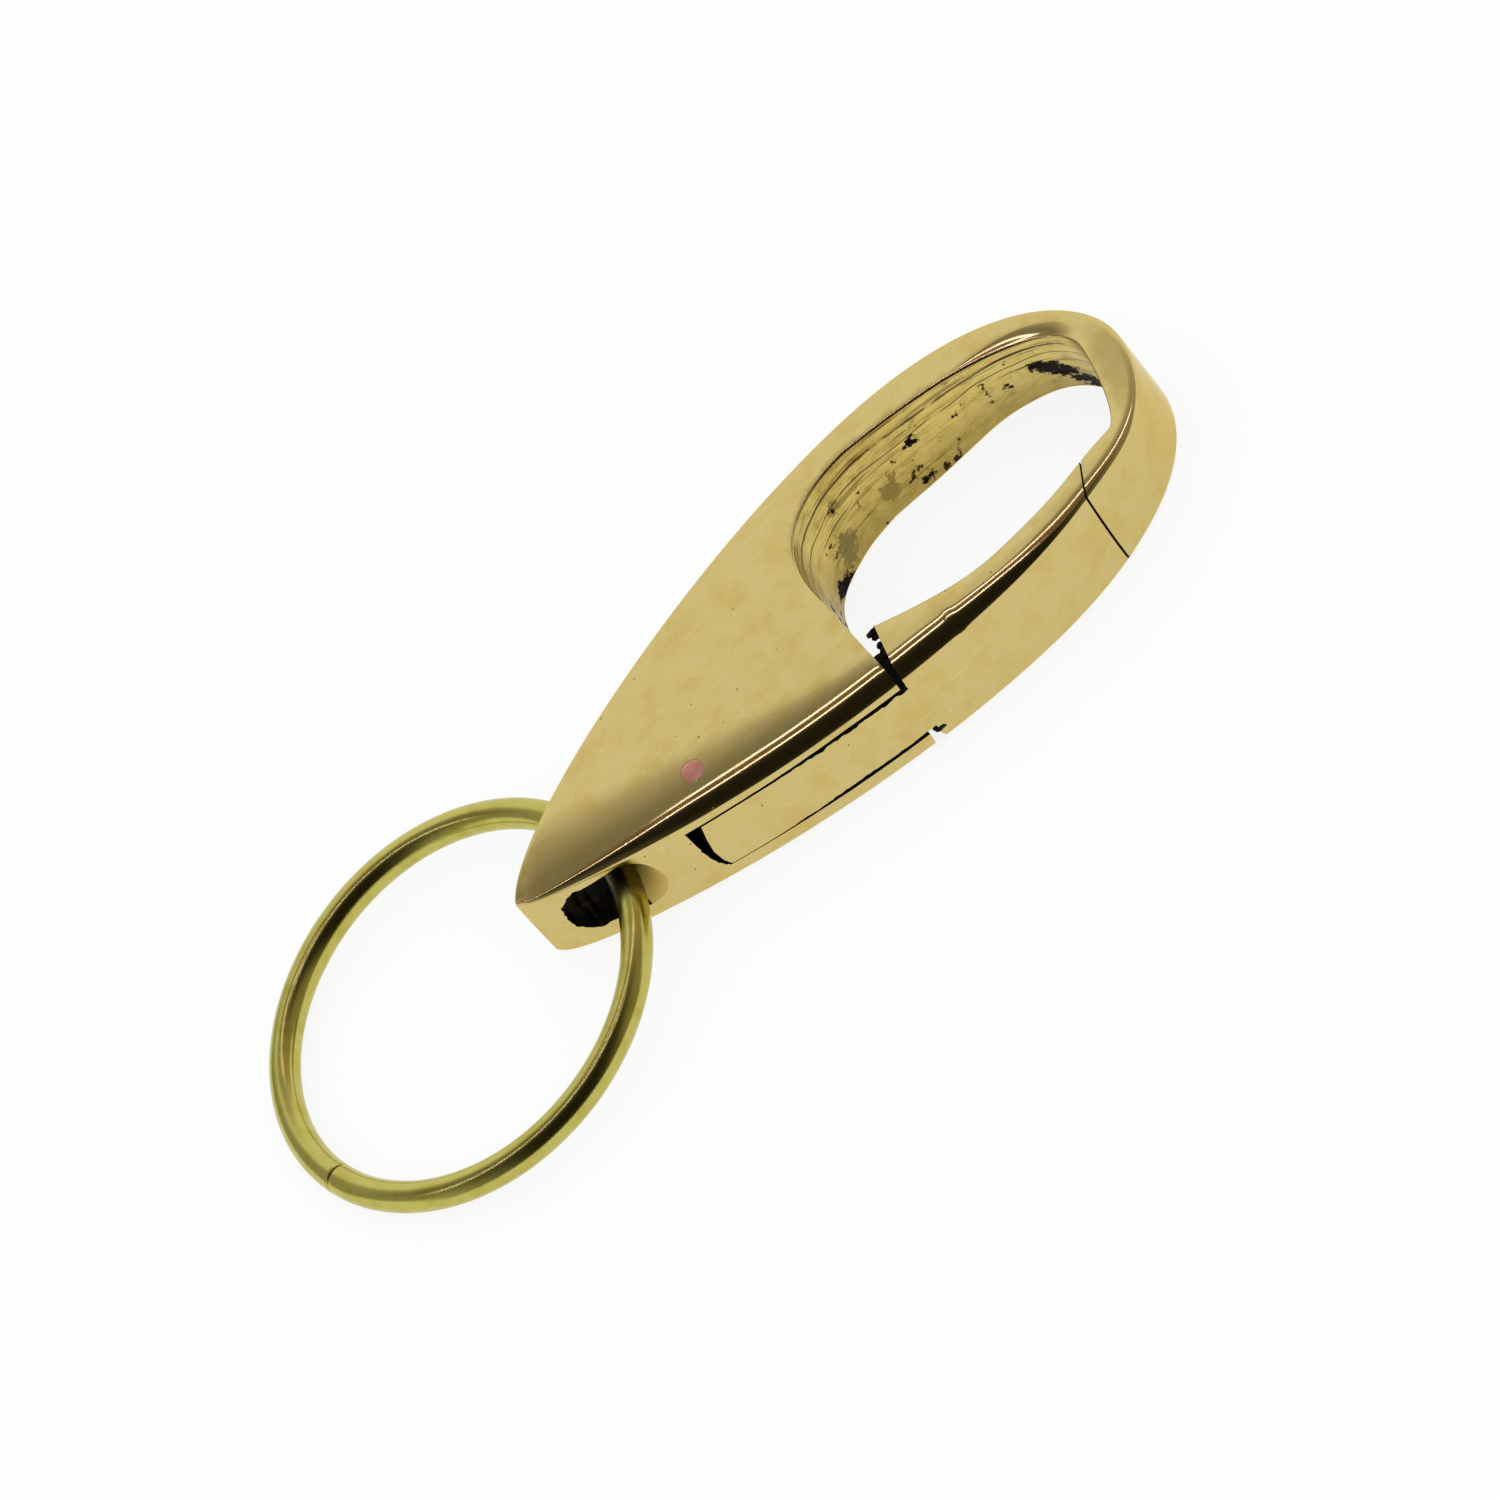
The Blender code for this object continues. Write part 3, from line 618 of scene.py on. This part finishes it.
cut = dict(
    cheekLean=2.6, seamLean=30.0, shoulderLean=15.5, tailLean=9.5, travel=15.0,      # degrees
    noseGrip=11.9 * mm, seamGap=0.18 * mm, shoulderGap=0.02 * mm, shoulderRagged=0.18 * mm,
    cheekShort=0.72 * mm, cheekShear=0.09, gateCorner=1.1 * mm, overrun=5 * mm,
    slotLow=2.1 * mm, slotEnd=4.95 * mm, slotRough=0.05 * mm, slotTopRough=0.03 * mm, slotGrid=0.5 * mm,
    heel=3.6 * mm, heelGap=0.4 * mm, tongueBack=(0.4 * mm, 0.9 * mm), tongueGrid=0.3 * mm,
    sawTop=0.24 * mm, sawBottom=0.10 * mm,
    # Places along the hook, and heights or gaps there, in mm
    slotTop=[(16, 7.72), (24, 7.80), (32, 7.98), (38, 8.15)],
    gapTop=[(16, 0.20), (22, 0.20), (26, 0.26), (32, 0.42), (38, 0.54)],
    gapBottom=[(16, 0.08), (22, 0.11), (25, 0.22), (28, 0.33), (32, 0.45), (36, 0.42), (39, 0.40)],
    # Distances from the slot's end, and heights there, in mm
    slotEndShape=[(0, 8), (0, 6.0), (0.02, 5.1), (0.1, 4.2), (0.27, 3.35), (0.6, 2.6), (1.0, 2.1),
                  (1.6, 1.8)],
    tongueEnd=[(1.5, 8.4), (1.47, 7.6), (1.02, 6.1), (0.73, 4.5), (0.83, 3.15), (1.13, 2.3), (1.7, 1.8)],
    # Places and sizes of the burrs at the gate's shoulder, in mm
    burrs=[((40.55, -6.75, 9.25), (0.75, 0.33, 0.30)), ((40.45, -7.15, 9.0), (0.45, 0.35, 0.30)),
           ((40.2, -8.2, 8.9), (0.42, 0.3, 0.3)), ((40.1, -8.9, 8.9), (0.42, 0.3, 0.3)),
           ((39.95, -9.6, 8.9), (0.5, 0.35, 0.4)), ((39.2, -13.9, 1.9), (0.75, 0.5, 0.45))],
)

rivet = dict(radius=1.15 * mm, boreGap=0.01 * mm, endShare=0.93, endRound=0.02 * mm, sides=64)


def leaning(root, lean, level):
    return Vector((root.x + (level - root.y) * math.tan(math.radians(lean)), level))


def prism(name, corners):                # straight tool through the whole thickness
    levels = (-cut["overrun"], thickness + cut["overrun"])
    vertices = [(*corner, level) for level in levels for corner in corners]
    return meshObject(name, vertices, skin(2, len(corners)), (gapShade,))


def plate(name, corners, lowAt, highAt, spacing):            # tool with two fine, uneven faces
    loop = evenly(corners, spacing)
    points, filled = fillBetween(loop, [], spacing)
    count, total = len(loop), len(points)
    vertices = [(p.x, p.y, lowAt(p)) for p in points] + [(p.x, p.y, highAt(p)) for p in points]
    faces = [tuple(reversed(face)) for face in filled] + [tuple(i + total for i in face) for face in filled]
    bridge(faces, 0, total, count)
    return meshObject(name, vertices, faces, (gapShade,))


def arc(centre, radius, first, last, steps):
    return [centre + Vector((math.cos(a), math.sin(a))) * radius
            for a in (first + (last - first) * step / steps for step in range(steps + 1))]


def tangentPoint(point, radius):
    angle = math.atan2(point.y, point.x) + math.acos(radius / point.length)
    return Vector((math.cos(angle), math.sin(angle))) * radius


outside = -(halfWidth + cut["overrun"])
cheekCorner = sharePoint(eye["outline"][0][0])
shoulder = sharePoint(eye["outline"][-1][0])
hollow = sharePoint(eye["outline"][4][0])
seamRoot = Vector((hookLength - cut["noseGrip"], eye["floor"]))
insideLevel = eye["floor"] + (cheekCorner.y - eye["floor"]) / 2
pinFlat = pin.xy


def tongueOutline(heel, inner):          # as the slot's and the tongue's: tail, heel, inner edge
    lean = math.radians(cut["tailLean"])
    out = Vector((math.sin(lean), -math.cos(lean)))
    tipward = Vector((out.y, -out.x))
    foot = tipward * (heel + cut["overrun"])
    tail = foot + out * (outside - pinFlat.y - foot.y) / out.y
    end = tangentPoint(inner, heel)
    last = math.atan2(end.y, end.x) % math.tau
    heelArc = arc(Vector((0, 0)), heel, math.atan2(tipward.y, tipward.x) % math.tau, last, 16)
    return [point + pinFlat for point in [tail, foot] + heelArc + [inner]]


def tailBar(name, profile):              # what is kept of slot or tongue, seen from the side
    lean = Matrix.Rotation(math.radians(cut["tailLean"]), 3, "Z")
    far = 2 * hookLength
    corners = profile + [(far, profile[-1][1]), (far, profile[0][1])]
    vertices = []
    for across in (-2 * halfWidth, 2 * halfWidth):
        vertices += [lean @ Vector((x, across, z - pin.z)) + pin for x, z in corners]
    return meshObject(name, vertices, skin(2, len(corners)), (gapShade,))


def sawMarks(x, size, seed):             # uneven marks along the slot
    fine = noise.noise(Vector((x / (0.42 * mm), seed, 0.3)))
    coarse = noise.noise(Vector((x / (1.3 * mm), seed, 5.1)))
    return size * max(-0.4, fine + 0.6 * coarse)


def buildSlotCutter():
    inner = shoulder - pinFlat
    swung = Matrix.Rotation(math.radians(cut["travel"]), 2) @ inner
    swung *= (swung.length + cut["overrun"]) / swung.length
    swung.y += cut["heelGap"]
    corners = tongueOutline(cut["heel"] + cut["heelGap"], swung)
    corners.append(Vector((swung.x + pinFlat.x, outside)))

    def low(p):
        rough = cut["slotRough"] * abs(noise.noise(Vector((p.x / mm, 3, 1))))
        return cut["slotLow"] - rough * smooth(p.x, 16 * mm, 24 * mm)

    def high(p):
        return along(cut["slotTop"], p.x) + cut["slotTopRough"] * noise.noise(Vector((p.x / mm, 9, 1)))

    slot = plate("slot", corners, low, high, cut["slotGrid"])
    profile = []
    for (x, z), (endX, endZ) in zip(cut["slotEndShape"], cut["slotEndShape"][1:]):
        for step in range(5):
            share = step / 5
            ragged = 0.16 * noise.noise(Vector((z / 0.35 - share * 3, 2, 7))) * smooth(8 - z, 0, 2)
            reach = (x + (endX - x) * share + ragged) * mm - cut["slotEnd"]
            profile.append((reach, (z + (endZ - z) * share) * mm))
    combine(slot, tailBar("slot_end", profile), "INTERSECT")
    return slot


def buildTongue():
    inner = shoulder - pinFlat - Vector(cut["tongueBack"])
    root = Vector((hollow.x, outside)) - pinFlat
    reach = inner + (hollow - pinFlat - inner) / 2
    reach.y = (root.y + inner.y) / 2
    corners = tongueOutline(cut["heel"], inner)
    corners += [reach + pinFlat, Vector((reach.x, root.y)) + pinFlat]

    def high(p):
        marks = sawMarks(p.x, cut["sawTop"] * smooth(p.x, 22 * mm, 33 * mm), 2.5)
        return along(cut["slotTop"], p.x) - along(cut["gapTop"], p.x) - marks

    def low(p):
        marks = sawMarks(p.x, cut["sawBottom"] * smooth(p.x, 21 * mm, 26 * mm), 7.5)
        return cut["slotLow"] + along(cut["gapBottom"], p.x) + marks

    tongue = plate("tongue", corners, low, high, cut["tongueGrid"])
    profile = [(x * mm - cut["slotEnd"], z * mm) for x, z in cut["tongueEnd"]]
    combine(tongue, tailBar("tongue_end", profile), "INTERSECT")
    return tongue


def mouthCutter():
    corner = cheekCorner - Vector((cut["cheekShort"], 0))
    mouth = prism("mouth", [corner, leaning(corner, cut["cheekLean"], outside),
                            leaning(seamRoot, cut["seamLean"], outside),
                            leaning(seamRoot, cut["seamLean"], insideLevel),
                            Vector((hollow.x, cheekCorner.y))])
    for vertex in mouth.data.vertices:   # the cheeks' ends lean a little
        if vertex.co.x < hollow.x - 1 * mm:
            vertex.co.x += cut["cheekShear"] * vertex.co.z
    return mouth


def gateBlock():                         # ragged shoulder, its rear corner worn round, up to the seam
    corners = []
    steps = 60
    for step in range(steps + 1):
        z = (thickness + 2 * mm) * step / steps - mm
        x = cut["shoulderGap"] + cut["shoulderRagged"] * noise.noise(Vector((z / (0.55 * mm), 4, 8)))
        x += cut["gateCorner"] * (1 - smooth(z, -0.6 * mm, 1.6 * mm)) ** 2
        corners.append((x, z))
    corners += [(2 * halfWidth, thickness + mm), (2 * halfWidth, -mm)]
    vertices = []
    for level in (outside, insideLevel):
        start = leaning(shoulder, cut["shoulderLean"], level).x
        vertices += [(start + x, level, z) for x, z in corners]
    block = meshObject("gate_block", vertices, skin(2, len(corners)), (gapShade,))
    root = seamRoot - Vector((cut["seamGap"] / math.cos(math.radians(cut["seamLean"])), 0))
    far = root.x - hookLength
    seamSide = prism("seam_side", [Vector((far, insideLevel)), Vector((far, outside)),
                                   leaning(root, cut["seamLean"], outside),
                                   leaning(root, cut["seamLean"], insideLevel)])
    combine(block, seamSide, "INTERSECT")
    return block


def burr(place, radii):                  # small uneven blob
    shape = bmesh.new()
    bmesh.ops.create_icosphere(shape, subdivisions=3, radius=1)
    vertices = []
    for vertex in shape.verts:
        rough = 1 + 0.25 * noise.noise(vertex.co * 1.7 + place / mm)
        vertices.append(Vector([c * r for c, r in zip(vertex.co, radii)]) * rough + place)
    faces = [tuple(vertex.index for vertex in face.verts) for face in shape.faces]
    shape.free()
    return meshObject("burr", vertices, faces, (gapShade,))


def pinBore():
    radius = rivet["radius"] + rivet["boreGap"]
    return prism("pin_bore", arc(pinFlat, radius, 0, math.tau, rivet["sides"])[:-1])


# Ring and its hole

ring = dict(wire=3.0 * mm, steps=320, sides=32, split=0.12 * mm, splitAngle=195.8, dents=0.02 * mm,
            endBevel=0.12 * mm, endShares={0: 0.93, 1: 0.985})
ring["radius"] = (ringHigh.y - ringLow.y - ring["wire"]) / 2
ring["drop"] = math.asin((ringPlace.z - ring["wire"] / 2) / (2 * ring["radius"]))
ring["skew"] = math.atan2(ringAxis.x, ringAxis.y)

hole = dict(tipWall=2.75 * mm, clearance=0.16 * mm, ragged=0.30 * mm, sides=96, sections=30,
            taller=0.34, flareFrom=2.2 * mm, rubbedAbove=0.4, rubbedBelow=0.05)


def boreRadius(reach):                   # room for the bowed wire, that far from the hole's middle
    bow = ring["radius"] - math.sqrt(ring["radius"] ** 2 - reach ** 2)
    return ring["wire"] / 2 + hole["clearance"] + bow


def ringBore():                          # bell-mouthed slot that the bowed wire turns in
    axis = Vector((ringAxis.x, ringAxis.y, 0)).normalized()
    crossways = Vector((axis.y, -axis.x, 0))
    endRadius = boreRadius(math.sqrt(0.5) * ringHole.x)
    endCentre = hole["tipWall"] + endRadius - ringHole.x
    vertices, marks = [], []
    for section in range(hole["sections"] + 1):
        reach = halfWidth * (2 * section / hole["sections"] - 1)
        radius = boreRadius(reach)
        taller = hole["taller"] * smooth(-reach, 3 * mm, 6 * mm)
        for side in range(hole["sides"]):
            turn = math.tau * side / hole["sides"]
            across, up = math.cos(turn), math.sin(turn)
            centre, wide = (endCentre, endRadius) if across < 0 else (0, radius)
            rough = noise.noise(Vector((across * 5, up * 5, reach / (1.5 * mm))))
            rough *= hole["ragged"] * smooth(-across, 0, 0.5)
            tall = endRadius + (radius - endRadius) * smooth(across, -0.3, 0.3) + rough
            rise = Vector((0, 0, up * (1 + taller * smooth(up, 0, 0.6)) * tall))
            vertices.append(ringHole + axis * reach + crossways * (centre + across * (wide + rough)) + rise)
    # faces off the rubbed flare take the bore's painted shade
    for section in range(hole["sections"]):
        reach = halfWidth * (2 * (section + 0.5) / hole["sections"] - 1)
        for side in range(hole["sides"]):
            turn = math.tau * (side + 0.5) / hole["sides"]
            least = hole["rubbedAbove"] if math.sin(turn) > 0 else hole["rubbedBelow"]
            marks.append(int(math.cos(turn) > least and abs(reach) > hole["flareFrom"]))
    return meshObject("ring_bore", vertices, skin(hole["sections"] + 1, hole["sides"]), (boreShade, flare),
                      marks + [0, 0])


def buildCastings():
    hook = blank
    gate = bpy.data.objects.new("gate_casting", blank.data.copy())
    bpy.context.scene.collection.objects.link(gate)
    tongue = buildTongue()
    combine(tongue, gateBlock(), "UNION")
    combine(gate, tongue, "INTERSECT")
    combine(gate, pinBore(), "DIFFERENCE")
    for place, size in cut["burrs"]:
        combine(gate, burr(Vector(place) * mm, [radius * mm for radius in size]), "UNION")
    say("gate cut")
    for tool in (mouthCutter(), buildSlotCutter(), ringBore(), pinBore()):
        combine(hook, tool, "DIFFERENCE")
    say("hook cut")
    settle(hook, "hook_casting", "hook", "polished_brass", "hook_body")
    settle(gate, "gate_casting", "gate", "polished_brass", "gate")


buildCastings()


def buildRivet():                        # filed flush with front and back
    vertices = []
    for front, share, inward in ((0, rivet["endShare"], 0), (0, 1, rivet["endRound"]),
                                 (1, 1, rivet["endRound"]), (1, rivet["endShare"], 0)):
        for spot in arc(pinFlat, rivet["radius"] * share, 0, math.tau, rivet["sides"])[:-1]:
            height = frontHeight(spot.x, spot.y) - inward if front else inward
            vertices.append((spot.x, spot.y, height))
    item = meshObject("rivet", vertices, skin(4, rivet["sides"]), (copper,))
    settle(item, "copper_rivet", "hook", "copper", "pivot_pin")


buildRivet()


def buildRing():                         # wire bent round by hand, its ends meeting in a butt joint
    turnRing = Matrix.Rotation(-ring["skew"], 4, "Z") @ Matrix.Rotation(-ring["drop"], 4, "Y")
    half = ring["split"] / ring["radius"] / 2
    bevel = ring["endBevel"] / ring["radius"]
    sweep = math.tau - 2 * (half + bevel)
    ends = [half, half + bevel * 0.4, half + bevel]
    angles = ends + [half + bevel + sweep * i / ring["steps"] for i in range(1, ring["steps"])]
    angles += [math.tau - angle for angle in reversed(ends)]
    vertices = []
    for index, angle in enumerate(angles):
        a = math.radians(ring["splitAngle"]) + angle
        share = ring["endShares"].get(min(index, len(angles) - 1 - index), 1.0)
        for side in range(ring["sides"]):
            t = math.tau * side / ring["sides"]
            dent = noise.noise(Vector((math.cos(a) * 7, math.sin(a) * 7, math.cos(t) * 0.8 + 3)))
            radius = (ring["wire"] / 2 - ring["dents"] * (0.5 + 0.5 * dent)) * share
            reach = ring["radius"] + radius * math.cos(t)
            flat = Vector((reach * math.cos(a) - ring["radius"], reach * math.sin(a), radius * math.sin(t)))
            vertices.append(turnRing @ flat + ringHole)
    item = meshObject("ring", vertices, skin(len(angles), ring["sides"]), (wire,))
    settle(item, "bent_wire_ring", "key_ring", "drawn_brass", "key_ring", sharp=50)


buildRing()
spring = frame["nodes"]["gate_spring"]
spring.data.materials.clear()
spring.data.materials.append(steel)
say("rivet, ring and spring done")


# Studio

studio = dict(
    cameraPlace=(-14.47, -413.63, 436.09),     # mm
    cameraTurn=(35.343, 27.351, -35.343),      # degrees
    lens=156.58, sensor=36.0,                  # mm
    floorSize=4.0, floorLevel=-0.05 * mm, floorColour=(0.95, 0.95, 0.95), glow=0.86,
    screenRadius=0.60, screenLift=5 * mm, stripGap=5 * mm,
    # Angle from straight up towards the camera's side, and brightness there
    screen=[(-84, (1.0, 1.0, 1.0)), (-64, (1.0, 1.0, 1.0)), (-52, (1.0, 1.0, 1.0)), (-43, (1.0, 1.0, 1.0)),
            (-38, (0.60, 0.58, 0.55)), (-31, (0.29, 0.28, 0.26)), (-24.5, (0.25, 0.235, 0.215)),
            (-19, (0.22, 0.15, 0.11)), (-11, (0.17, 0.115, 0.085)), (-6.5, (0.22, 0.165, 0.11)),
            (-3, (0.08, 0.06, 0.045)), (4, (0.035, 0.03, 0.026)), (25, (0.02, 0.018, 0.016)),
            (60, (0.018, 0.016, 0.014)), (86, (0.03, 0.028, 0.02))],
    screenAcross=[-1.5, -0.95, -0.7, -0.5, -0.28, -0.18, -0.10, 0.10, 0.22, 0.35, 0.50, 0.75, 1.3],
    backEnd=-40,                               # degrees; the screen's white part lies behind it
    rightLift=(0.30, 0.27, 0.20), rightFade=(0.12, 0.50),
    leftLift=(0.42, 0.42, 0.38), leftFade=(0.28, 0.9), leftFadeBack=(0.10, 0.28),
    strips=[dict(angle=-21.7, width=2.0, left=-0.075, right=0.34, strength=6.5, tint=(0.70, 0.64, 1.0)),
            dict(angle=-8.0, width=2.0, left=-0.60, right=0.075, strength=7.0, tint=(0.68, 0.66, 1.0))],
)


def glowing(name, strength, tint=None):  # lit in a tint, or else in the mesh's own colours
    b = Bench(name)
    colour = (*tint, 1) if tint else b.node("ShaderNodeAttribute", {"attribute_name": "glow"}, out="Color")
    return b.finish(b.node("ShaderNodeEmission", None, {"Color": colour, "Strength": strength}))


def onlyReflected(item):                 # seen in polished metal and by nothing else
    item.visible_camera = False
    item.visible_diffuse = False
    item.visible_shadow = False
    item.visible_transmission = False


def onCurve(angle, radius, x):           # a place on the curved screen
    turn = math.radians(angle)
    return (x, -radius * math.sin(turn), radius * math.cos(turn) + studio["screenLift"])


def buildScreen():                       # curved dark screen above the camera's side, paler at both ends
    stops, across = studio["screen"], studio["screenAcross"]
    wide = len(across)
    places = [onCurve(angle, studio["screenRadius"], x) for angle, _ in stops for x in across]
    faces = [(i * wide + j, i * wide + j + 1, (i + 1) * wide + j + 1, (i + 1) * wide + j)
             for i in range(len(stops) - 1) for j in range(wide - 1)]
    item = meshObject("light_screen", places, faces, (glowing("light_screen", 1.0),))
    glow = item.data.attributes.new("glow", "FLOAT_COLOR", "POINT")
    for i, (angle, colour) in enumerate(stops):
        behind = angle < studio["backEnd"]
        for j, x in enumerate(across):
            right = 0 if behind else smooth(x, *studio["rightFade"])
            left = smooth(-x, *studio["leftFadeBack" if behind else "leftFade"])
            lifted = [c + lift * right for c, lift in zip(colour, studio["rightLift"])]
            tint = [c + (lift - c) * left for c, lift in zip(lifted, studio["leftLift"])]
            glow.data[i * wide + j].color = (*tint, 1)
    onlyReflected(item)


def buildStrips():                       # two narrow light strips in front of the screen
    for number, strip in enumerate(studio["strips"]):
        radius = studio["screenRadius"] - studio["stripGap"]
        corners = [onCurve(strip["angle"] + side * strip["width"] / 2, radius, strip[end])
                   for side, end in ((-1, "left"), (-1, "right"), (1, "right"), (1, "left"))]
        light = glowing("light_strip", strip["strength"], strip["tint"])
        onlyReflected(meshObject(f"light_strip_{number}", corners, [(0, 1, 2, 3)], (light,)))


def buildFloor():                        # pale table just clear of the hook, which keeps a faint shadow
    half = studio["floorSize"] / 2
    b = Bench("table_white")
    camera, glossy, through = (b.node("ShaderNodeLightPath", out=f"Is {kind} Ray")
                               for kind in ("Camera", "Glossy", "Transmission"))
    seen = b.sum("MAXIMUM", b.sum("MAXIMUM", camera, glossy), through)
    paint = b.node("ShaderNodeBsdfDiffuse", None, {"Color": (*studio["floorColour"], 1)})
    white = b.node("ShaderNodeEmission")
    material = b.finish(b.node("ShaderNodeMixShader", None, {0: seen * studio["glow"], 1: paint, 2: white}))
    corners = [(x * half, y * half, studio["floorLevel"]) for x, y in ((-1, -1), (1, -1), (1, 1), (-1, 1))]
    meshObject("table", corners, [(0, 1, 2, 3)], (material,))


def buildWorld():
    world = bpy.data.worlds.new("studio")
    bpy.context.scene.world = world
    world.use_nodes = True
    back = world.node_tree.nodes["Background"]
    back.inputs["Color"].default_value = (1, 1, 1, 1)
    back.inputs["Strength"].default_value = 1.0


def buildCamera():
    data = bpy.data.cameras.new("camera")
    data.lens = studio["lens"]
    data.sensor_width = studio["sensor"]
    data.clip_start, data.clip_end = 0.01, 10
    camera = bpy.data.objects.new("camera", data)
    camera.location = [value * mm for value in studio["cameraPlace"]]
    camera.rotation_euler = [math.radians(value) for value in studio["cameraTurn"]]
    bpy.context.scene.collection.objects.link(camera)
    bpy.context.scene.camera = camera


buildFloor()
buildScreen()
buildStrips()
buildWorld()
buildCamera()
bpy.context.scene.view_settings.view_transform = "Standard"
say("studio lit")
